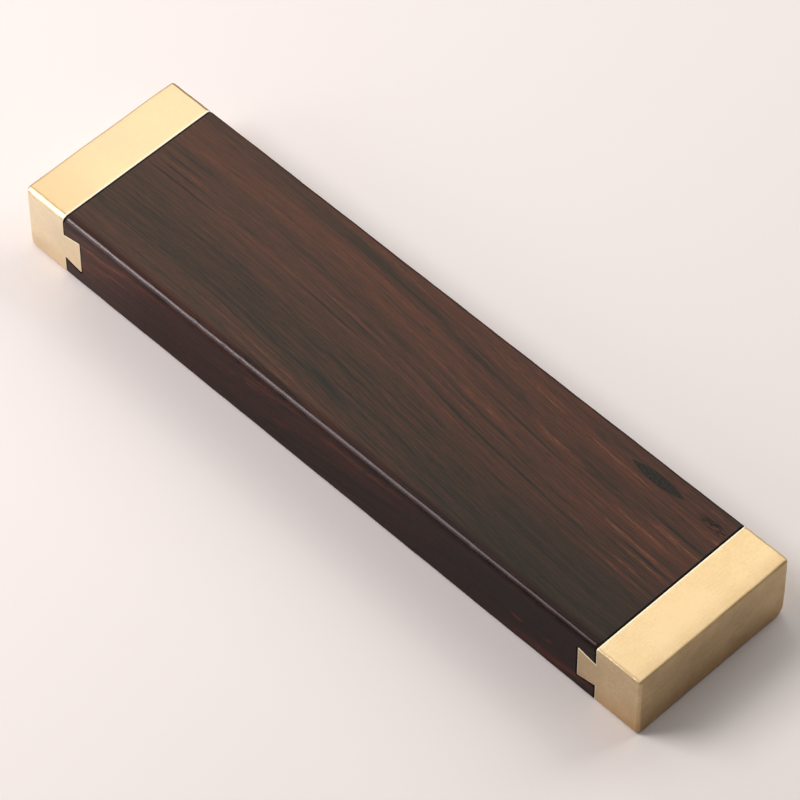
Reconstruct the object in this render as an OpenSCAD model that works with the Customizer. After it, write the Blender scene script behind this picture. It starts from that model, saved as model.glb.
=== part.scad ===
// Desk paperweight: a dark hardwood bar with a solid brass block on each end.
// Each block is held by a dovetail that runs straight across the width of the
// bar, so its profile shows on both long sides. A thin film of dark adhesive
// fills the joint. Nothing on it moves.
//
// Frame: origin on the resting face at the middle of the bar, X along the
// length, Y across the width, Z up. All sizes are in millimetres.

/* [Bar] */
// Overall length, end face to end face
bar_length = 200; // [160:1:250]
// Overall width
bar_width = 48; // [36:0.5:60]
// Overall height
bar_height = 20; // [14:0.5:26]

/* [Softened edges] */
// Radius along the two upper long edges
top_edge_radius = 1.6; // [0.4:0.1:2]
// Radius along the two lower long edges
bottom_edge_radius = 1.4; // [0.4:0.1:2]
// Radius across the ends, where an end face meets the top
end_top_radius = 1; // [0.4:0.1:2]
// Radius across the ends, where an end face meets the underside
end_bottom_radius = 1; // [0.4:0.1:2.5]
// Radius of the four upright corners
upright_radius = 1.6; // [0.4:0.1:3]

/* [Brass end blocks] */
// Length of a block from its end face to its shoulder
block_length = 13.3; // [8:0.1:20]
// Length of the dovetail beyond the shoulder
tail_length = 5.5; // [3:0.1:8]
// Height of the dovetail at its neck
neck_height = 8.1; // [6:0.1:12]
// How far each flank spreads from neck to tail end
tail_flare = 1.2; // [0.3:0.05:2]
// Height of the dovetail's middle above the resting face
tail_middle = 10; // [7:0.1:12]
// Radius of the dovetail's two long corners
tail_corner_radius = 0.35; // [0.1:0.05:0.8]

/* [Adhesive film] */
// Thickness of the film between brass and wood
film_thickness = 0.3; // [0.1:0.05:0.4]
// How far the film lies below the outer surfaces
film_recess = 0.1; // [0.05:0.05:0.3]

/* [Colours] */
// Wood colour
wood_color = "#35251f";
// Brass colour
brass_color = "#cfa55f";
// Adhesive colour
film_color = "#120d0b";

/* [Hidden] */
$fn = 64;
shoulder_x = bar_length / 2 - block_length;
flare_slope = tail_flare / tail_length;
flank_stretch = sqrt(1 + flare_slope * flare_slope);
cut_margin = 5;
tail_overlap = 1;

// Rectangle centred on X from z = low to z = high, its lower and upper corners
// rounded to different radii.
module soft_rectangle(width, low, high, low_radius, high_radius) {
  half = width / 2;
  translate([-half + low_radius, low])
    square([width - 2 * low_radius, high - low - high_radius]);
  translate([-half, low + low_radius])
    square([width, high - low - low_radius - high_radius]);
  translate([-half + high_radius, high - high_radius - low_radius])
    square([width - 2 * high_radius, high_radius + low_radius]);
  for (side = [-1, 1]) {
    translate([side * (half - low_radius), low + low_radius])
      circle(r = low_radius);
    translate([side * (half - high_radius), high - high_radius])
      circle(r = high_radius);
  }
}

// The finished outside of the whole paperweight, pulled in by inset all round.
module outside(inset = 0) {
  length = bar_length - 2 * inset;
  width = bar_width - 2 * inset;
  top = bar_height - inset;
  intersection() {
    rotate([90, 0, 90])
      translate([0, 0, -length / 2])
        linear_extrude(length)
          soft_rectangle(width, inset, top, bottom_edge_radius - inset, top_edge_radius - inset);
    rotate([90, 0, 0])
      translate([0, 0, -width / 2])
        linear_extrude(width)
          soft_rectangle(length, inset, top, end_bottom_radius - inset, end_top_radius - inset);
    translate([0, 0, inset])
      linear_extrude(top - inset)
        soft_rectangle(
          length, -width / 2, width / 2,
          upright_radius - inset, upright_radius - inset
        );
  }
}

// Lays a shape drawn in side view right across the width of the bar.
module across_width() {
  rotate([90, 0, 0])
    linear_extrude(bar_width + 2 * cut_margin, center = true)
      children();
}

// Everything the right-hand block takes up: a slab with a dovetail pointing at
// the middle of the bar. swell moves every joint face into the wood by that much.
module block_space(swell = 0) {
  shoulder = shoulder_x - swell;
  tail_end = shoulder - tail_length;
  neck = neck_height / 2 + swell * (flare_slope + flank_stretch);
  spread = neck + tail_flare;
  radius = tail_corner_radius + swell;
  // Distance from a corner to where its rounding starts, along either edge
  reach = radius * (flank_stretch + flare_slope);
  flank_x = reach / flank_stretch;
  flank_z = reach * flare_slope / flank_stretch;
  translate([shoulder, -bar_width, -cut_margin])
    cube([block_length + swell + cut_margin, 2 * bar_width, bar_height + 2 * cut_margin]);
  translate([0, 0, tail_middle]) {
    across_width()
      polygon([
        [shoulder + tail_overlap, -neck + tail_overlap * flare_slope],
        [tail_end + flank_x, -spread + flank_z],
        [tail_end, -spread + reach],
        [tail_end, spread - reach],
        [tail_end + flank_x, spread - flank_z],
        [shoulder + tail_overlap, neck - tail_overlap * flare_slope]
      ]);
    for (side = [-1, 1])
      across_width()
        translate([tail_end + radius, side * (spread - reach)])
          circle(r = radius);
  }
}

module end_block() {
  intersection() {
    outside();
    block_space();
  }
}

module glue_line() {
  intersection() {
    outside(film_recess);
    difference() {
      block_space(film_thickness);
      block_space();
    }
  }
}

module wood_bar() {
  color(wood_color)
    difference() {
      outside();
      block_space(film_thickness);
      mirror([1, 0, 0])
        block_space(film_thickness);
    }
}

module right_end_block() {
  color(brass_color)
    end_block();
}

module left_end_block() {
  color(brass_color)
    mirror([1, 0, 0])
      end_block();
}

module right_glue_line() {
  color(film_color)
    glue_line();
}

module left_glue_line() {
  color(film_color)
    mirror([1, 0, 0])
      glue_line();
}

wood_bar();
left_end_block();
right_end_block();
left_glue_line();
right_glue_line();
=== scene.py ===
"""Looks of a desk paperweight: a dark hardwood bar with a brass block dovetailed onto each end."""

import math

import bmesh
import bpy
from mathutils import Matrix, Vector


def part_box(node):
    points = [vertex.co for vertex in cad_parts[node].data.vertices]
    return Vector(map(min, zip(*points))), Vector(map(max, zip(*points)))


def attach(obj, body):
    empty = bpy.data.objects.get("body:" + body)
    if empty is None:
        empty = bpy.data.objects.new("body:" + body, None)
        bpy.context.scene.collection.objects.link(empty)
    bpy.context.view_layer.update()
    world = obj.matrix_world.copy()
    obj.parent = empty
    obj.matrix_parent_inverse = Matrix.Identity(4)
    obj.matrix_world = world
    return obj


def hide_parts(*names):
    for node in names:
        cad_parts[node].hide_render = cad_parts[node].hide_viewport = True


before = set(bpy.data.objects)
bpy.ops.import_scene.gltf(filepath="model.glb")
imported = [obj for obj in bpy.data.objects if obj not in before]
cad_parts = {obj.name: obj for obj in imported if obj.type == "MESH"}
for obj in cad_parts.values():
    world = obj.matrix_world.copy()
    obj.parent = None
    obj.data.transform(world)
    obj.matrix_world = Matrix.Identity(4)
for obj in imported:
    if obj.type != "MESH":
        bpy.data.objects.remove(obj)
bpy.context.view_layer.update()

MM = 0.001

# ---------------------------------------------------------------- sizes, in millimetres
# Everything that a node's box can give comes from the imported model.
BLOCK_LOW, BLOCK_HIGH = (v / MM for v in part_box("right_end_block"))
FILM_LOW, FILM_HIGH = (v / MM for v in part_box("right_glue_line"))
END_X = BLOCK_HIGH.x
HALF_WIDTH = BLOCK_HIGH.y
HEIGHT = BLOCK_HIGH.z
TAIL_X = BLOCK_LOW.x
SHOULDER_X = FILM_HIGH.x
FILM = TAIL_X - FILM_LOW.x
# The dovetail's profile, as in part.scad.
NECK_HALF = 4.05
TAIL_FLARE = 1.2
TAIL_MIDDLE = 10.0
TAIL_CORNER = 0.35
# The hairline bevel beside each joint, which on the brass shows as a bright line: a painted highlight.
BRASS_ARRIS = 0.24
WOOD_ARRIS = 0.14
# Radii of the long edges, which were rounded by hand: (front top, back top, bottom).
WOOD_EDGES = (1.8, 1.1, 1.4)
# Small dents along the front top edge of the wood: place, reach and depth.
NICKS = (
    (-72.0, 1.2, 0.25), (-57.0, 1.5, 0.12), (-42.5, 1.4, 0.28), (-38.0, 1.0, 0.18),
    (-35.5, 1.2, 0.26), (-32.0, 1.4, 0.30), (-29.0, 1.0, 0.22), (-26.5, 1.4, 0.28),
    (-12.0, 1.2, 0.12), (18.0, 1.4, 0.12), (47.0, 1.2, 0.10),
)
# The end blocks. side is the way that the end face looks along X. corners gives, for the front
# and the back corner, the upright's radius at the top and at the bottom, and the radius of the
# lower edges beside it.
LEFT_BLOCK = {
    "side": -1.0,
    "edges": (1.8, 1.1, 1.4),
    "end_top": 0.8,
    "corners": {"front": (1.9, 2.1, 1.6), "back": (1.5, 1.8, 1.6)},
}
RIGHT_BLOCK = {
    "side": 1.0,
    "edges": (0.5, 0.9, 1.4),
    "end_top": 0.5,
    "corners": {"front": (0.8, 1.0, 1.2), "back": (1.0, 1.3, 2.8)},
}
END_BOTTOM_RADIUS = 1.0
# The faces are cut this close together between the edges.
BRASS_STEP = (0.9, 1.5, 1.2)
WOOD_STEP = 0.8
# A fold sharper than this, in degrees, shows as an edge.
SHARP_FOLD = 40

# ---------------------------------------------------------------- figures of the brass
WHITE = (1.0, 1.0, 1.0)
# Each block's tints paint light and shade: on the front face and the top, and shade on the end face
# and near the foot.
LEFT_BRASS = {
    "dull": (0.74, 0.55, 0.314),
    "bright": (0.815, 0.617, 0.37),
    "front_painted_light": (1.13, 1.29, 1.55),
    "top_painted_light": (0.98, 0.93, 0.88),
    "end_painted_shade": WHITE,
    "foot_painted_shade": (0.89, 0.83, 0.76),
    "edge_roughness": 0.48,
}
# The right block is a shaded copy of the same brass: its darker colours are painted shade.
RIGHT_BRASS_SHADED = {
    "dull": (0.585, 0.428, 0.225),
    "bright": (0.715, 0.537, 0.303),
    "front_painted_light": (1.01, 1.06, 1.16),
    "top_painted_light": (1.02, 1.04, 1.08),
    "end_painted_shade": (0.87, 0.86, 0.85),
    "foot_painted_shade": (0.80, 0.70, 0.58),
    "edge_roughness": 0.60,
}
# Colour of the painted highlight along each seam on top.
SEAM_HIGHLIGHT_COLOUR = (1.0, 0.95, 0.76)
DENT_ROUGHNESS = 0.38
# Height up to which the brass gets painted shade near the foot.
FOOT_SHADE_HEIGHT = 11.0

# ---------------------------------------------------------------- figures of the wood
# The grain runs along the bar and wanders this far towards the front between these places.
DRIFT = 10.0
DRIFT_SPAN = (-60.0, 90.0)
# How far a growth layer leans towards the back for each millimetre that it rises.
LAYER_TILT = 0.6
# Redness of the growth layers, as (layer in mm, redness).
LAYER_REDNESS = (
    (-36, 0.20), (-28, 0.15), (-24, 0.24), (-22.5, 0.38), (-20, 0.39), (-17, 0.38),
    (-14, 0.33), (-11.5, 0.28), (-8, 0.31), (-4, 0.33), (0.5, 0.38), (3, 0.48), (6, 0.43),
    (9, 0.38), (12, 0.46), (15, 0.54), (18, 0.52), (20, 0.36), (22, 0.38), (24, 0.54),
    (27, 0.52), (31, 0.40), (44, 0.35),
)
# Linear base colours from the dark layers to the brightest streaks.
WOOD_TONES = (
    (0.00, (0.024, 0.022, 0.018)),
    (0.22, (0.042, 0.031, 0.023)),
    (0.48, (0.074, 0.037, 0.026)),
    (0.75, (0.112, 0.045, 0.029)),
    (1.00, (0.155, 0.064, 0.036)),
    (1.35, (0.225, 0.104, 0.057)),
)
# How burnished the front edge is, and how strong the red tint painted on its highlight is, as (place
# along the bar, part of the most).
BURNISH_AND_HIGHLIGHT = (
    (-100, 1.0), (-70, 0.96), (-50, 0.71), (-30, 0.57), (0, 0.61), (50, 0.53), (74, 0.37), (100, 0.31),
)
# Streaks of the top face: start and end along the bar, place across it, half width, strength.
ORANGE_STREAKS = (
    (50, 98, 2.3, 0.75, 0.62), (64, 98, 9.3, 1.10, 0.55), (56, 86, 6.5, 0.70, 0.55),
    (26, 54, 11.0, 1.10, 0.48), (40, 72, 16.7, 0.60, 0.50), (64, 96, -0.3, 0.90, 0.52),
    (60, 94, -5.6, 0.60, 0.42), (60, 92, -3.2, 0.80, 0.36), (76, 100, 15.5, 0.80, 0.55),
    (-40, 2, 21.7, 0.90, 0.16), (-34, -4, 3.6, 0.90, 0.20), (-64, -12, -17.5, 0.50, 0.15),
    (-44, 12, -20.6, 0.60, 0.32), (-44, 12, -18.9, 0.50, 0.30), (8, 62, 18.5, 0.80, 0.32),
    (-92, -60, 6.2, 0.60, 0.20), (-4, 46, 2.6, 0.80, 0.30), (-6, 40, 6.8, 0.80, 0.30),
    (62, 99, 21.4, 0.80, 0.45), (76, 99, 18.0, 0.50, 0.35), (-30, 20, 9.8, 0.80, 0.18),
    (10, 60, 14.0, 0.70, 0.25), (20, 70, -1.0, 0.60, 0.25),
)
DARK_STREAKS = (
    (-90, -64, 10.2, 0.50, 0.45), (-90, -66, 7.5, 0.40, 0.50), (-90, -64, 4.9, 0.45, 0.65),
    (-90, -58, 2.6, 0.45, 0.60), (-38, -6, 1.0, 0.50, 0.80), (-40, 4, 3.0, 0.40, 0.45),
    (-55, 4, 19.5, 1.60, 0.22), (-20, 6, -6.0, 1.20, 0.25), (-22, 4, -14.2, 1.60, 0.30),
    (4, 64, 8.6, 0.60, 0.50), (-4, 50, 4.6, 0.60, 0.55), (-2, 44, 0.4, 0.60, 0.45),
    (10, 74, -1.5, 0.60, 0.40), (-4.5, -1.5, 13.2, 0.25, 0.90), (40.5, 43.5, 6.6, 0.25, 0.90),
    (66, 88, 11.2, 0.50, 0.55), (64, 90, 0.9, 0.45, 0.60), (14, 50, 14.2, 0.50, 0.35),
    (-84, -60, -14.6, 0.30, 0.45), (-60, -8, -15.4, 0.35, 0.40), (-36, 4, -21.6, 0.35, 0.60),
)
# Streaks of the front face: start and end along the bar, height at either end, half width,
# strength.
FRONT_STREAKS = (
    (-96, -38, 13.4, 19.4, 1.6, 1.00), (-84, -58, 10.4, 13.0, 1.1, 0.60),
    (-90, -70, 16.4, 18.2, 1.2, 0.50), (-44, 6, 12.2, 19.6, 1.7, 0.95),
    (-25.5, -20.5, 14.0, 14.4, 0.8, 1.40), (-34, -8, 17.4, 18.6, 0.9, 0.70),
    (-12, 40, 14.6, 18.8, 1.6, 1.15), (59.5, 65.5, 8.0, 8.4, 0.8, 2.40),
    (70, 74, 8.6, 8.8, 0.7, 1.40), (32.0, 38.0, 10.4, 12.0, 0.8, 1.20),
    (44, 98, 2.0, 4.6, 2.6, 1.50), (-20, -10, 8.4, 9.0, 0.8, 0.60),
    (-96, -74, 8.0, 9.6, 5.0, 0.45),
)
# A lens of grey mineral and a small swirl in the top face: middle (x, y) and reach (x, y).
LENS = ((64.3, 19.35), (8.6, 1.6))
LENS_GREYS = ((0.017, 0.015, 0.012), (0.041, 0.032, 0.025))
SWIRL = ((82.0, 18.6), (6.5, 2.2))
SWIRL_COLOUR = (0.016, 0.011, 0.009)
PORE_COLOUR = (0.012, 0.009, 0.008)
# Painted light and shade from the left end to the right, of all the wood, lighter at the left and
# darker at the right; and painted shade on the part below the top face.
LENGTH_LIGHT_AND_SHADE = ((1.14, 1.22, 1.22), (0.94, 0.94, 0.93))
BELOW_TOP_SHADE = ((0.78, 0.62, 0.70), (0.41, 0.21, 0.20))
# Painted shade as a dark line beside the front edge, and a red tint painted on the highlight of the
# burnished edge itself.
RIM_SHADE = (0.60, 0.42, 0.40)
RIDGE_HIGHLIGHT_RED = (0.085, 0.036, 0.040)
# Redness about which the contrast is raised.
MID_REDNESS = 0.4

# ---------------------------------------------------------------- figures of the studio
FLOOR_COLOUR = (0.87, 0.815, 0.79)
# The colour and strength of what glows: the far floor, and the wall behind it.
PALE = (1.0, 0.93, 0.90)
PALE_STRENGTH = 0.8
# The floor's glow starts and is full at these distances, in millimetres.
GLOW_SPAN = (300, 1100)
NEUTRAL_LIGHT = (1.0, 0.98, 0.97)
WARM_LIGHT = (1.0, 0.975, 0.95)
PINK_LIGHT = (1.0, 0.84, 0.88)
# Soft boxes: name, point aimed at, turn and height of the lamp in degrees, distance and size in
# metres, power in watts, colour.
LAMPS = (
    ("overhead", (0.09, 0, 0), (135, 52), 1.0, (0.5, 0.5), 1.57, NEUTRAL_LIGHT),
    ("key", (0, 0, 0), (222, 53), 1.0, (0.45, 0.45), 5.15, NEUTRAL_LIGHT),
    ("strip", (-0.13, 0, 0.01), (228, 49), 0.6, (0.26, 0.045), 0.72, PINK_LIGHT),
    ("side", (-0.07, 0, 0.01), (241, 26), 0.7, (0.3, 0.3), 0.81, NEUTRAL_LIGHT),
    ("back_fill", (0, 0, 0), (81, 39), 1.0, (0.6, 0.6), 3.72, WARM_LIGHT),
    ("front_fill", (0, 0, 0), (-70, 27), 1.2, (1.5, 0.6), 1.0, NEUTRAL_LIGHT),
    ("top_fill", (0, 0, 0), (45, 88), 1.3, (0.9, 0.6), 0.5, NEUTRAL_LIGHT),
    ("right_fill", (0, 0, 0), (28, 24), 1.2, (0.9, 0.6), 0.5, NEUTRAL_LIGHT),
    ("left_fill", (0, 0, 0), (165, 30), 1.0, (0.75, 0.75), 1.6, NEUTRAL_LIGHT),
)
# The camera: its turn from the front, height and roll in degrees, the point it aims at in
# millimetres, its distance in metres, and its lens and sensor width in millimetres.
CAMERA_TURN = 45.575
CAMERA_HEIGHT = 52.092
CAMERA_ROLL = -0.361
CAMERA_TARGET = (-3.89, 5.10, 0.0)
CAMERA_DISTANCE = 1.18697
CAMERA_LENS = 229.94
SENSOR_WIDTH = 36.0


def smooth_step(value, low, high):
    t = min(1.0, max(0.0, (value - low) / (high - low)))
    return t * t * (3.0 - 2.0 * t)


# ---------------------------------------------------------------- shaping
def round_pair(a, b, radius):
    """Moves a point near a sharp edge onto a rounded one. a and b are its distances inward
    from the two faces that meet there."""
    if a >= radius or b >= radius:
        return a, b
    u, v = radius - a, radius - b
    length = math.hypot(u, v)
    if length < 1e-9:
        return a, b
    k = max(u, v) / length
    return radius - u * k, radius - v * k


def edge_steps(radius):
    """Distances from a sharp edge at which a face is cut, so that the rounding is even."""
    steps = [radius * (1 - math.tan(math.radians(angle))) for angle in (36, 27, 18, 9)]
    return steps + [radius, radius + 0.25]


def tail_profile(swell):
    """The right-hand dovetail's corners as (x, z), from the lower neck to the upper neck."""
    slope = TAIL_FLARE / (SHOULDER_X - TAIL_X)
    stretch = math.hypot(1.0, slope)
    neck = NECK_HALF + swell * (slope + stretch)
    spread = neck + TAIL_FLARE
    shoulder, tail = SHOULDER_X - swell, TAIL_X - swell
    radius = TAIL_CORNER + swell
    reach = radius * (stretch + slope)
    centre = (tail + radius, spread - reach)
    turn = math.pi / 2 + math.atan(slope)
    arc = []
    for k in range(7):
        angle = math.pi + turn * k / 6
        arc.append((centre[0] + radius * math.cos(angle), centre[1] - radius * math.sin(angle)))
    upper = arc + [(shoulder, neck)]
    lower = [(x, -z) for x, z in reversed(upper)]
    return [(x, z + TAIL_MIDDLE) for x, z in lower + upper]


def prism(outline, joint, arris):
    """A solid with this (x, z) outline, right across the width. joint is the set of outline
    points on the joint: their edges get a hairline bevel."""
    bm = bmesh.new()
    count = len(outline)
    front = [bm.verts.new((x, -HALF_WIDTH, z)) for x, z in outline]
    back = [bm.verts.new((x, HALF_WIDTH, z)) for x, z in outline]
    bm.faces.new(front)
    bm.faces.new(list(reversed(back)))
    for i in range(count):
        j = (i + 1) % count
        bm.faces.new((front[j], front[i], back[i], back[j]))
    bmesh.ops.recalc_face_normals(bm, faces=bm.faces)
    sharp = []
    for i, j in joint:
        for ring in (front, back):
            sharp.append(bm.edges.get((ring[i], ring[j])))
    for i in sorted({k for pair in joint for k in pair}):
        if outline[i][1] in (0.0, HEIGHT):
            sharp.append(bm.edges.get((front[i], back[i])))
    bmesh.ops.bevel(
        bm, geom=sharp, offset=arris, offset_type="OFFSET", segments=2, profile=0.5,
        affect="EDGES", clamp_overlap=True, material=1,
    )
    return bm


def slice_up(bm, xs, ys, zs):
    """Cuts the solid by planes at these places."""
    for axis, places in enumerate((xs, ys, zs)):
        normal = Vector((0, 0, 0))
        normal[axis] = 1.0
        for place in places:
            point = Vector((0, 0, 0))
            point[axis] = place
            geometry = bm.verts[:] + bm.edges[:] + bm.faces[:]
            bmesh.ops.bisect_plane(bm, geom=geometry, dist=1e-4, plane_co=point, plane_no=normal)


def spread_places(low, high, step):
    count = max(1, round((high - low) / step))
    return [low + (high - low) * k / count for k in range(1, count)]


def finish_piece(name, bm, shape, materials, nodes):
    """Warps the sliced solid with shape, and makes it a piece of the model."""
    for v in bm.verts:
        v.co = Vector(shape(*v.co)) * MM
    bmesh.ops.remove_doubles(bm, verts=bm.verts, dist=1e-7)
    bmesh.ops.recalc_face_normals(bm, faces=bm.faces)
    mesh = bpy.data.meshes.new(name)
    bm.to_mesh(mesh)
    bm.free()
    mesh.polygons.foreach_set("use_smooth", [True] * len(mesh.polygons))
    mesh.set_sharp_from_angle(angle=math.radians(SHARP_FOLD))
    piece = bpy.data.objects.new(name, mesh)
    bpy.context.scene.collection.objects.link(piece)
    weighted = piece.modifiers.new("even_shading", "WEIGHTED_NORMAL")
    weighted.keep_sharp = True
    for material in materials:
        mesh.materials.append(material)
    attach(piece, "root")
    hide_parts(*nodes)
    return piece


def long_edges(x, y, z, radii, more):
    """Rounds the four long edges. more is added to the radii."""
    front_top, back_top, bottom = radii
    side = -1.0 if y < 0 else 1.0
    inward = HALF_WIDTH - abs(y)
    if z > HEIGHT / 2:
        inward, down = round_pair(inward, HEIGHT - z, (front_top if y < 0 else back_top) + more)
        z = HEIGHT - down
    else:
        inward, z = round_pair(inward, z, bottom + more)
    return x, side * (HALF_WIDTH - inward), z


def block_shape(side, edges, end_top, corners):
    """How an end block's sharp solid is rounded."""

    def shape(x, y, z):
        inward_x = END_X - side * x
        top, bottom, foot = corners["front" if y < 0 else "back"]
        near_corner = smooth_step(abs(y), HALF_WIDTH - 7, HALF_WIDTH)
        near_end = 1.0 - smooth_step(inward_x, 0, 9)
        if inward_x < 6:
            upright = bottom + (top - bottom) * smooth_step(z, 0, 9)
            inward_x, inward_y = round_pair(inward_x, HALF_WIDTH - abs(y), upright)
            y = math.copysign(HALF_WIDTH - inward_y, y)
            if z > HEIGHT / 2:
                soft = end_top + 0.2 * near_corner + 0.06 * math.sin(y * 0.31)
                inward_x, down = round_pair(inward_x, HEIGHT - z, soft)
                z = HEIGHT - down
            else:
                inward_x, z = round_pair(inward_x, z, END_BOTTOM_RADIUS)
            x = side * (END_X - inward_x)
        front_top, back_top, low = edges
        low = low + (foot - low) * near_end
        # The file left the long edges a little uneven.
        filed = 0.05 * math.sin(x * 0.83 + 1.3 * side) + 0.07 * math.sin(x * 1.9 + y * 0.01)
        return long_edges(x, y, z, (front_top, back_top, low), filed)

    return shape


def end_block(name, node, materials, side, edges, end_top, corners):
    tail = tail_profile(0.0)
    outline = [(END_X, 0.0), (END_X, HEIGHT), (SHOULDER_X, HEIGHT)]
    outline += list(reversed(tail)) + [(SHOULDER_X, 0.0)]
    count = len(outline)
    joint = [(i, (i + 1) % count) for i in range(2, count - 1)]
    bm = prism([(side * x, z) for x, z in outline], joint, BRASS_ARRIS)
    # Cuts that suit radii from 0.8 to 2.9, and even ones between.
    step_x, step_y, step_z = BRASS_STEP
    xs = [side * (END_X - d) for d in edge_steps(0.8) + edge_steps(1.3) + edge_steps(2.0)]
    xs += [side * x for x in spread_places(SHOULDER_X, END_X - 3, step_x)]
    xs += [side * x for x in spread_places(TAIL_X, SHOULDER_X, 1.0)]
    ys = []
    for d in edge_steps(0.8) + edge_steps(1.8) + edge_steps(2.9):
        ys += [HALF_WIDTH - d, d - HALF_WIDTH]
    ys += spread_places(3.6 - HALF_WIDTH, HALF_WIDTH - 3.6, step_y)
    zs = [HEIGHT - d for d in edge_steps(0.8) + edge_steps(1.8)]
    zs += edge_steps(1.0) + edge_steps(1.6) + edge_steps(2.9)
    zs += spread_places(3.6, HEIGHT - 2.4, step_z)
    slice_up(bm, xs, ys, zs)
    shape = block_shape(side, edges, end_top, corners)
    return finish_piece(name, bm, shape, materials, [node])


def wooden_bar(materials):
    tail = tail_profile(FILM)
    shoulder = SHOULDER_X - FILM
    right = [(shoulder, 0.0)] + tail + [(shoulder, HEIGHT)]
    left = [(-x, z) for x, z in reversed(right)]
    outline = right + left
    joint = [(i, i + 1) for i in range(len(right) - 1)]
    joint += [(i + len(right), i + 1 + len(right)) for i in range(len(left) - 1)]
    bm = prism(outline, joint, WOOD_ARRIS)
    ys = []
    for d in edge_steps(1.2) + edge_steps(1.8):
        ys += [HALF_WIDTH - d, d - HALF_WIDTH]
    zs = [HEIGHT - d for d in edge_steps(1.2) + edge_steps(1.8)] + edge_steps(1.4)
    slice_up(bm, spread_places(-shoulder, shoulder, WOOD_STEP), ys, zs)

    def shape(x, y, z):
        worn = 0.06 * math.sin(x * 0.21) + 0.04 * math.sin(x * 0.57 + 1.0)
        if y < 0 and z > HEIGHT / 2:
            for place, reach, depth in NICKS:
                worn += depth * (1.0 - smooth_step(abs(x - place), 0, reach))
        return long_edges(x, y, z, WOOD_EDGES, worn)

    return finish_piece("hardwood_bar", bm, shape, materials, ["wood_bar"])


# ---------------------------------------------------------------- shader arithmetic
class Value:
    """A number in a shader, with arithmetic written as in Python."""

    def __init__(self, shader, socket):
        self.shader, self.socket = shader, socket

    def _op(self, operation, other):
        return self.shader.math(operation, self, other)

    def __add__(self, other):
        return self._op("ADD", other)

    __radd__ = __add__

    def __sub__(self, other):
        return self._op("SUBTRACT", other)

    def __rsub__(self, other):
        return self.shader.math("SUBTRACT", other, self)

    def __mul__(self, other):
        return self._op("MULTIPLY", other)

    __rmul__ = __mul__

    def __truediv__(self, other):
        return self._op("DIVIDE", other)

    def __neg__(self):
        return self._op("MULTIPLY", -1.0)


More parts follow.
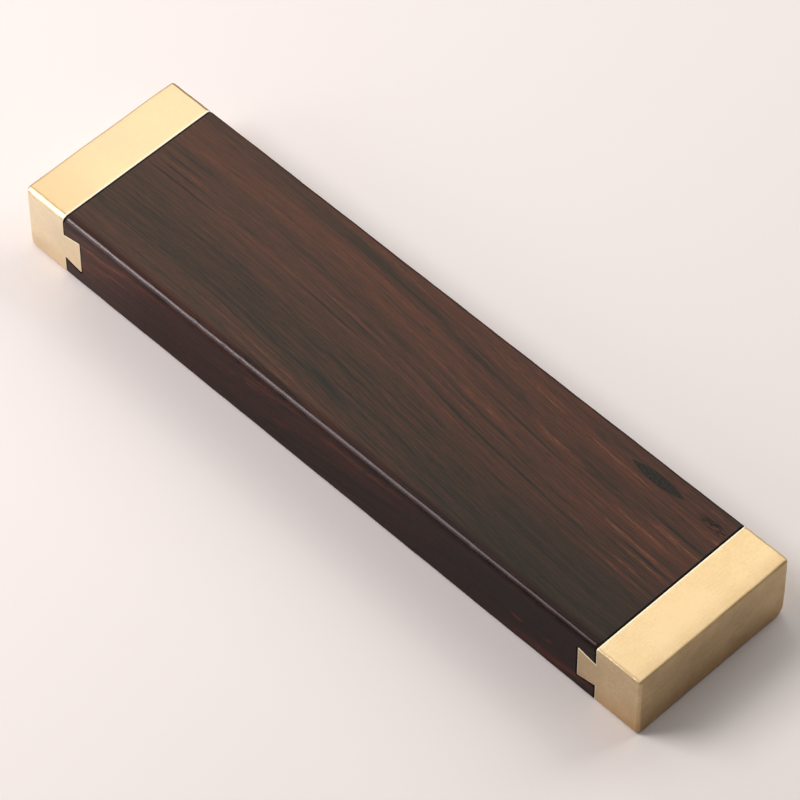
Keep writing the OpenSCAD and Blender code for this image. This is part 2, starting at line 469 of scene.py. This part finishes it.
class Shader:
    """Builds one material's nodes."""

    def __init__(self, name):
        self.material = bpy.data.materials.new(name)
        self.material.use_nodes = True
        self.tree = self.material.node_tree
        self.tree.nodes.clear()
        self.output = self.node("ShaderNodeOutputMaterial")
        self.surface = self.node("ShaderNodeBsdfPrincipled")
        self.link(self.surface.outputs["BSDF"], self.output.inputs["Surface"])
        place = self.node("ShaderNodeTexCoord")
        scaled = self.node("ShaderNodeVectorMath", operation="SCALE")
        self.link(place.outputs["Object"], scaled.inputs[0])
        scaled.inputs["Scale"].default_value = 1.0 / MM
        split = self.node("ShaderNodeSeparateXYZ")
        self.link(scaled.outputs[0], split.inputs[0])
        self.x, self.y, self.z = (Value(self, split.outputs[k]) for k in range(3))

    def node(self, kind, **settings):
        made = self.tree.nodes.new(kind)
        for key, value in settings.items():
            setattr(made, key, value)
        return made

    def link(self, source, target):
        self.tree.links.new(source, target)

    def feed(self, target, value):
        if isinstance(value, Value):
            self.link(value.socket, target)
        else:
            target.default_value = value

    def math(self, operation, *values, clamp=False):
        made = self.node("ShaderNodeMath", operation=operation, use_clamp=clamp)
        for target, value in zip(made.inputs, values):
            self.feed(target, value)
        return Value(self, made.outputs[0])

    def ramp(self, value, low, high, to_low=0.0, to_high=1.0):
        """value from low to high, eased, as a number from to_low to to_high."""
        made = self.node("ShaderNodeMapRange", interpolation_type="SMOOTHSTEP")
        limits = (value, low, high, to_low, to_high)
        for target, number in zip(made.inputs, limits):
            self.feed(target, number)
        return Value(self, made.outputs[0])

    def bump_at(self, value, centre, reach):
        """1 at centre, eased to 0 at reach to either side."""
        return self.ramp(self.math("ABSOLUTE", value - centre), 0.0, reach, 1.0, 0.0)

    def noise(self, x, y, z, detail=2.0, roughness=0.5, distortion=0.0):
        """Smooth noise, about 0.5 on average, at a place given in cells."""
        place = self.node("ShaderNodeCombineXYZ")
        for target, value in zip(place.inputs, (x, y, z)):
            self.feed(target, value)
        made = self.node("ShaderNodeTexNoise", noise_dimensions="3D")
        self.link(place.outputs[0], made.inputs["Vector"])
        made.inputs["Scale"].default_value = 1.0
        made.inputs["Detail"].default_value = detail
        made.inputs["Roughness"].default_value = roughness
        made.inputs["Distortion"].default_value = distortion
        return Value(self, made.outputs["Fac"])

    def blend(self, kind, amount, first, second):
        made = self.node("ShaderNodeMix", data_type="RGBA", blend_type=kind)
        self.feed(made.inputs[0], amount)
        for target, colour in ((made.inputs[6], first), (made.inputs[7], second)):
            if isinstance(colour, Value):
                self.link(colour.socket, target)
            else:
                target.default_value = (*colour, 1.0)
        return Value(self, made.outputs[2])

    def mix(self, amount, first, second):
        """A colour between two colours."""
        return self.blend("MIX", amount, first, second)

    def tint(self, first, second):
        """Two colours multiplied."""
        return self.blend("MULTIPLY", 1.0, first, second)

    def shade(self, tone, mask, colour):
        """tone, multiplied by colour where mask is 1."""
        return self.tint(tone, self.mix(mask, WHITE, colour))

    def curve(self, value, low, high, points):
        """A smooth curve through (value, height) points that lie between low and high."""
        span = high - low
        stops = [((place - low) / span, (height,) * 3) for place, height in points]
        return self.ramped((value - low) / span, stops)

    def tones(self, value, stops):
        """A colour picked by a number. The last stop's number may be more than 1."""
        top = stops[-1][0]
        return self.ramped(value / top, [(place / top, colour) for place, colour in stops])

    def ramped(self, value, stops):
        made = self.node("ShaderNodeValToRGB")
        made.color_ramp.interpolation = "B_SPLINE"
        points = made.color_ramp.elements
        for _ in stops[2:]:
            points.new(0.5)
        for point, (place, colour) in zip(points, stops):
            point.position = place
            point.color = (*colour, 1.0)
        self.feed(made.inputs[0], value)
        return Value(self, made.outputs[0])

    def relief(self, height, depth_mm):
        """Bump from a height of 0 to 1, depth_mm deep."""
        made = self.node("ShaderNodeBump")
        made.inputs["Strength"].default_value = 1.0
        made.inputs["Distance"].default_value = depth_mm * MM
        self.link(height.socket, made.inputs["Height"])
        self.link(made.outputs["Normal"], self.surface.inputs["Normal"])

    def set(self, name, value):
        self.feed(self.surface.inputs[name], value)


# ---------------------------------------------------------------- materials
def brass_material(name, dull, bright, front_painted_light, top_painted_light, end_painted_shade, foot_painted_shade, edge_roughness):
    s = Shader(name)
    x, y, z = s.x, s.y, s.z
    out_x = s.math("ABSOLUTE", x)
    out_y = s.math("ABSOLUTE", y)
    cloud = s.noise(x * 0.09, y * 0.09, z * 0.09, detail=4.0, roughness=0.55)
    speck = s.noise(x * 1.4, y * 1.4, z * 1.4, detail=3.0, roughness=0.65)
    brush = s.noise(x * 6.0, y * 0.25, z * 0.8, detail=3.0, roughness=0.6)
    mottle = cloud + (speck - 0.5) * 0.5
    near_x = s.ramp(out_x, END_X - 0.9, END_X - 0.3)
    near_y = s.ramp(out_y, HALF_WIDTH - 0.9, HALF_WIDTH - 0.4)
    near_top = s.ramp(z, HEIGHT - 0.9, HEIGHT - 0.4)

    tone = s.mix(s.ramp(mottle + (brush - 0.5) * 0.5, 0.3, 0.7), dull, bright)
    # Painted light on the front face, which is made paler, most of all on the left block; and painted
    # light and shade on the top as it nears the front, darker on the left block and paler on the
    # right.
    front = s.ramp(-y, HALF_WIDTH - 0.9, HALF_WIDTH - 0.2)
    tone = s.shade(tone, front, front_painted_light)
    forward_painted_light = s.ramp(-y + (cloud - 0.5) * 8.0, 6.0, HALF_WIDTH) * (1.0 - front)
    tone = s.shade(tone, forward_painted_light * s.ramp(z, 17, 19.5), top_painted_light)
    # Painted shade near the foot, darker towards the bottom, where the brass reflects the shadowed
    # floor.
    foot = s.ramp(z + (cloud - 0.5) * 6.0, 0.0, FOOT_SHADE_HEIGHT, 1.0, 0.0)
    tone = s.shade(tone, foot, foot_painted_shade)
    # Painted shade on the end face, and on the top as it nears the end.
    toward_end = s.ramp(out_x, END_X - 5.0, END_X - 0.6) * near_top * 0.9
    tone = s.shade(tone, s.math("MAXIMUM", near_x, toward_end), end_painted_shade)
    # A painted highlight along the seam on top: a pale line, made less metallic.
    seam_highlight = s.ramp(out_x, SHOULDER_X + 0.20, SHOULDER_X + 0.55, 1.0, 0.0)
    seam_highlight = seam_highlight * s.ramp(z, HEIGHT - 1.0, HEIGHT - 0.4) * s.ramp(speck, 0.3, 0.5, 0.6, 1.0)
    s.set("Base Color", s.mix(seam_highlight, tone, SEAM_HIGHLIGHT_COLOUR))
    s.set("Metallic", 1.0 - seam_highlight * 0.6)

    # Every edge was broken by hand, which left small shinier dents along the front.
    satin = s.ramp(mottle, 0.25, 0.75, 0.31, 0.39)
    edge = s.math("MAXIMUM", near_x * near_y, near_top * s.math("MAXIMUM", near_x, near_y))
    dent = s.ramp(s.noise(x * 1.1, y * 2.0, z * 2.0), 0.58, 0.66)
    dent = dent * s.ramp(-y, HALF_WIDTH - 2, HALF_WIDTH - 1)
    rubbed = dent * (DENT_ROUGHNESS - edge_roughness) + edge_roughness
    s.set("Roughness", satin + (rubbed - satin) * edge)
    s.relief(brush * 0.5 + speck * 0.5, 0.023)
    return s.material


def painted_edge_highlight_material():
    """The hairline bevel along each brass joint edge. Its pale colour and low metallic are a painted
    highlight.
    """
    s = Shader("brass_edge_painted_highlight")
    grain = s.noise(s.x * 2.5, s.y * 2.5, s.z * 2.5)
    s.set("Base Color", s.mix(grain, (1.0, 0.86, 0.60), (1.0, 0.92, 0.70)))
    s.set("Metallic", 0.3)
    s.set("Roughness", s.ramp(grain, 0.3, 0.7, 0.42, 0.52))
    s.relief(grain, 0.01)
    return s.material


def grain_drift(x):
    """How far the grain has wandered towards the front at x."""
    return DRIFT * smooth_step(x, *DRIFT_SPAN)


def growth_layers(s):
    """The place of each growth layer across the bar, and the ripple in it. The layers are flat,
    tilted sheets that wander as they run along the bar."""
    x, y, z = s.x, s.y, s.z
    wander = s.noise(x * 0.022, y * 0.07, z * 0.07)
    ripple = s.noise(x * 0.11, y * 0.35, z * 0.35)
    drift = s.ramp(x, *DRIFT_SPAN) * DRIFT
    layer = y + drift - (z - HEIGHT) * LAYER_TILT + (wander - 0.5) * 1.8 + (ripple - 0.5) * 0.5
    return layer, ripple


def layer_redness(s, layer, fine, fibre):
    """How red each layer is, from the front to the back."""
    x, y, z = s.x, s.y, s.z
    broad = s.noise(x * 0.014, layer * 0.42, z * 0.1)
    middle = s.noise(x * 0.045, layer * 1.3, z * 0.2 + 7.0, roughness=0.6)
    # The figure is calmer at the front of the right half.
    calm = s.ramp(y, -10, 1, 1.0, 0.0) * s.ramp(x, 0, 60)
    lively = s.ramp(x, -70, 40, 0.78, 1.12) * (1.0 - calm * 0.45)
    red = s.curve(layer, -36.0, 44.0, LAYER_REDNESS) * (1.0 - calm * 0.30)
    red = red + (broad - 0.5) * 0.36 + (middle - 0.5) * 0.66 * lively
    return red + (fine - 0.5) * 0.80 * lively + (fibre - 0.5) * 0.42


def top_streak(s, layer, start, end, place, half_width):
    """A soft streak along the grain, 1 at its middle. place is across the top face."""
    middle = (start + end) / 2
    along = s.bump_at(s.x, middle, (end - start) / 2)
    return along * s.bump_at(layer, place + grain_drift(middle), half_width)


def front_streak(s, ripple, start, end, low, high, half_width):
    """A soft streak of the front face, that rises from low to high."""
    line = (s.x - start) * ((high - low) / (end - start)) + low
    along = s.bump_at(s.x, (start + end) / 2, (end - start) / 2)
    return along * s.bump_at(s.z + (ripple - 0.5) * 2.0 - line, 0.0, half_width)


def add_streaks(s, red, layer, ripple, torn, upper):
    """Adds the separate streaks of the top and front faces. torn breaks them up."""
    for start, end, place, width, strength in ORANGE_STREAKS:
        red = red + top_streak(s, layer, start, end, place, width) * upper * torn * strength
    for start, end, place, width, strength in DARK_STREAKS:
        red = red - top_streak(s, layer, start, end, place, width) * upper * torn * strength
    front = s.ramp(-s.y, HALF_WIDTH - 1.2, HALF_WIDTH - 0.2)
    red = (red - MID_REDNESS) * (front * 0.5 + 1.2) + MID_REDNESS
    for start, end, low, high, width, strength in FRONT_STREAKS:
        mark = front_streak(s, ripple, start, end, low, high, width)
        red = red + mark * front * torn * strength
    return red


def add_marks(s, tone, speckle, pore, upper):
    """Adds the lens of grey mineral, the small swirl and the open pores."""
    x, y, z = s.x, s.y, s.z
    (lens_x, lens_y), (reach_x, reach_y) = LENS
    along = (x - lens_x) * (1 / reach_x)
    thick = s.math("ABSOLUTE", y - lens_y) * (1 / reach_y)
    lens = s.ramp(1.0 - along * along - thick + (speckle - 0.5) * 0.25, 0.0, 0.16) * upper
    tone = s.mix(lens, tone, s.mix(s.ramp(speckle, 0.38, 0.66), *LENS_GREYS))
    (swirl_x, swirl_y), (reach_x, reach_y) = SWIRL
    swirl = s.bump_at(x, swirl_x, reach_x) * s.bump_at(y, swirl_y, reach_y) * upper
    curl = s.noise(x * 0.28, y * 1.3, z, detail=1.0, distortion=0.8)
    curl = s.ramp(s.math("ABSOLUTE", curl - 0.5), 0.03, 0.10, 1.0, 0.0)
    tone = s.mix(s.math("MULTIPLY", swirl * curl, 1.3, clamp=True), tone, SWIRL_COLOUR)
    return s.mix(pore * 0.55, tone, PORE_COLOUR)


def wood_material():
    s = Shader("dark_hardwood")
    x, y, z = s.x, s.y, s.z
    layer, ripple = growth_layers(s)
    fine = s.noise(x * 0.14, layer * 3.6, z * 0.5 + 3.0, roughness=0.65)
    fibre = s.noise(x * 0.6, layer * 9.0, z * 2.0, roughness=0.65)
    speckle = s.noise(x * 1.6, y * 2.4, z, detail=3.0, roughness=0.7)
    pore = s.ramp(s.noise(x * 0.8, layer * 6.5, z * 3.0, detail=1.0), 0.69, 0.76)
    torn = s.ramp(fine + (fibre - 0.5) * 0.7, 0.34, 0.62, 0.10, 1.0)
    upper = s.ramp(z, 12, 17)

    red = layer_redness(s, layer, fine, fibre)
    red = add_streaks(s, red, layer, ripple, torn, upper)
    # Painted light towards the left end and painted shade towards the right.
    tone = s.tint(s.tones(red, WOOD_TONES), s.mix(s.ramp(x, -90, 90), *LENGTH_LIGHT_AND_SHADE))
    # Painted shade: a dark line on the top beside the front edge.
    rim_shade = s.ramp(-y, HALF_WIDTH - 3.8, HALF_WIDTH - 1.6) * s.ramp(z, HEIGHT - 0.6, HEIGHT - 0.2)
    tone = s.shade(tone, rim_shade, RIM_SHADE)
    # Painted shade below the top face: the rounded front edge and the faces below it are darker, most
    # of all towards the right.
    below = s.mix(s.ramp(x, -84, -50), *BELOW_TOP_SHADE)
    tone = s.mix(s.ramp(HEIGHT - z, 0.0, 0.08), tone, s.tint(tone, below))
    tone = add_marks(s, tone, speckle, pore, upper)

    # Handling has burnished the front edge, most of all towards the left. Its red colour where the
    # highlight falls is a painted tint of that highlight.
    edge = s.ramp(-y, HALF_WIDTH - 1.8, HALF_WIDTH - 1.5) * s.ramp(z, HEIGHT - 1.5, HEIGHT - 0.8)
    burnish_and_highlight = s.curve(x, -100.0, 100.0, BURNISH_AND_HIGHLIGHT)
    ridge_highlight = s.bump_at(-y, HALF_WIDTH - 1.0, 0.6)
    s.set("Base Color", s.mix(ridge_highlight * burnish_and_highlight * 0.9, tone, RIDGE_HIGHLIGHT_RED))
    matt = s.ramp(fine + (speckle - 0.5) * 0.5, 0.3, 0.7, 0.46, 0.54)
    s.set("Roughness", matt * (1.0 - edge) + edge * 0.24)
    s.set("IOR", 1.22)
    s.set("Coat Weight", edge * burnish_and_highlight * s.ramp(fine, 0.2, 0.6, 0.25, 0.41))
    s.set("Coat Roughness", 0.18)
    s.set("Coat IOR", 1.5)
    s.relief(fibre * 0.5 + fine * 0.3 - pore * 0.5, 0.012)
    return s.material


def dark_material(name):
    """Cured dark adhesive, and wood soaked with it."""
    s = Shader(name)
    grain = s.noise(s.x * 3.0, s.y * 3.0, s.z * 3.0)
    s.set("Base Color", s.mix(grain, (0.004, 0.003, 0.003), (0.009, 0.006, 0.005)))
    s.set("Roughness", s.ramp(grain, 0.3, 0.7, 0.6, 0.75))
    s.set("IOR", 1.2)
    s.relief(grain, 0.02)
    return s.material


# ---------------------------------------------------------------- floor, light and camera
def floor():
    mesh = bpy.data.meshes.new("floor")
    bm = bmesh.new()
    bmesh.ops.create_grid(bm, x_segments=2, y_segments=2, size=4.0)
    bm.to_mesh(mesh)
    bm.free()
    plane = bpy.data.objects.new("floor", mesh)
    bpy.context.scene.collection.objects.link(plane)
    s = Shader("pale_floor")
    s.set("Base Color", (*FLOOR_COLOUR, 1.0))
    # Beyond the reach of the lamps the floor glows, so that it stays pale as far as it goes.
    away = s.math("SQRT", s.x * s.x + s.y * s.y)
    s.set("Emission Color", (*PALE, 1.0))
    s.set("Emission Strength", s.ramp(away, *GLOW_SPAN, 0.0, PALE_STRENGTH))
    s.material.cycles.emission_sampling = "NONE"
    s.set("Roughness", 0.9)
    s.set("Specular IOR Level", 0.1)
    mesh.materials.append(s.material)


def heading(turn, height):
    """A direction from its turn round from +X and its height above the floor, in degrees."""
    turn, height = math.radians(turn), math.radians(height)
    return math.cos(turn) * math.cos(height), math.sin(turn) * math.cos(height), math.sin(height)


def soft_box(name, target, direction, distance, size, power, colour):
    data = bpy.data.lights.new(name, "AREA")
    data.shape = "RECTANGLE"
    data.size, data.size_y = size
    data.energy = power
    data.color = colour
    lamp = bpy.data.objects.new(name, data)
    bpy.context.scene.collection.objects.link(lamp)
    away = Vector(direction).normalized()
    lamp.location = Vector(target) + away * distance
    lamp.rotation_mode = "QUATERNION"
    lamp.rotation_quaternion = (-away).to_track_quat("-Z", "Y")
    lamp.visible_camera = False


def lighting():
    world = bpy.data.worlds.new("studio")
    bpy.context.scene.world = world
    world.use_nodes = True
    tree = world.node_tree
    back = tree.nodes["Background"]
    back.inputs["Color"].default_value = (*PALE, 1.0)
    # The wall behind is pale to look at, and hardly lights the object.
    seen = tree.nodes.new("ShaderNodeLightPath")
    strength = tree.nodes.new("ShaderNodeMapRange")
    tree.links.new(seen.outputs["Is Camera Ray"], strength.inputs["Value"])
    strength.inputs["To Min"].default_value = 0.01
    strength.inputs["To Max"].default_value = PALE_STRENGTH
    tree.links.new(strength.outputs["Result"], back.inputs["Strength"])
    for name, target, (turn, height), distance, size, power, colour in LAMPS:
        soft_box(name, target, heading(turn, height), distance, size, power, colour)


def camera():
    """A long lens from above the right-hand front corner."""
    back = Vector(heading(CAMERA_TURN - 90, CAMERA_HEIGHT))
    turn, roll = math.radians(CAMERA_TURN), math.radians(CAMERA_ROLL)
    level = Vector((math.cos(turn), math.sin(turn), 0.0))
    upright = back.cross(level)
    right = level * math.cos(roll) + upright * math.sin(roll)
    top = upright * math.cos(roll) - level * math.sin(roll)
    place = Vector(CAMERA_TARGET) * MM + back * CAMERA_DISTANCE
    data = bpy.data.cameras.new("camera")
    data.sensor_width = SENSOR_WIDTH
    data.lens = CAMERA_LENS
    data.clip_start, data.clip_end = 0.05, 20.0
    made = bpy.data.objects.new("camera", data)
    made.matrix_world = Matrix((
        (right.x, top.x, back.x, place.x),
        (right.y, top.y, back.y, place.y),
        (right.z, top.z, back.z, place.z),
        (0, 0, 0, 1),
    ))
    bpy.context.scene.collection.objects.link(made)
    bpy.context.scene.camera = made


# ---------------------------------------------------------------- the scene
left_brass = brass_material("left_satin_brass", **LEFT_BRASS)
right_brass = brass_material("right_brass_painted_shade", **RIGHT_BRASS_SHADED)
painted_edge_highlight = painted_edge_highlight_material()
wood = wood_material()
film = dark_material("dark_adhesive")
soaked = dark_material("adhesive_soaked_wood")
end_block("right_brass_block", "right_end_block", [right_brass, painted_edge_highlight], **RIGHT_BLOCK)
end_block("left_brass_block", "left_end_block", [left_brass, painted_edge_highlight], **LEFT_BLOCK)
wooden_bar([wood, soaked])
for node in ("left_glue_line", "right_glue_line"):
    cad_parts[node].data.materials.clear()
    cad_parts[node].data.materials.append(film)
floor()
lighting()
camera()
bpy.context.scene.view_settings.view_transform = "Standard"
